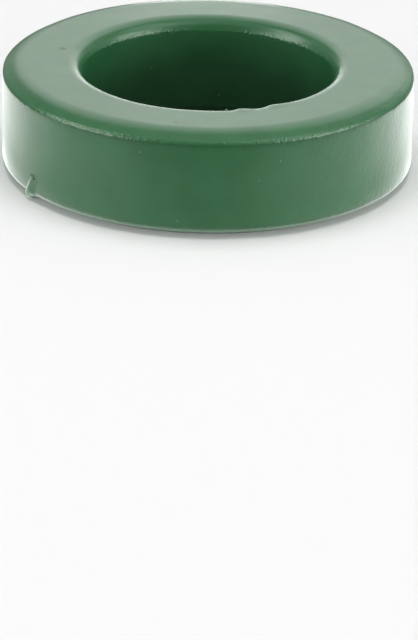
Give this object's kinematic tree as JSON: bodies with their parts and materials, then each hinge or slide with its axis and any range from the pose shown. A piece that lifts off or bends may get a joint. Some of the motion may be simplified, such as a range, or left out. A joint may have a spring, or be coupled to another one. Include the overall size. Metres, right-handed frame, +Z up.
{
  "type": "ferrite toroid core",
  "caption": "Green coated ferrite ring with bevelled, rounded corners and a plain bore, for winding a coil or threading a cable.",
  "frame": {"origin": "centre of the lower flat face, on the bore axis", "axes": "+Z up along the bore axis; the coating drip on the outer wall is at a bearing of about 210 degrees from +X"},
  "size_m": [0.031, 0.031, 0.0081],
  "materials": {
    "green_coating": "satin deep green epoxy coating over pressed and fired ferrite, with a faint orange peel"
  },
  "bodies": {
    "root": {"toroid_core": "green_coating"}
  },
  "joints": []
}
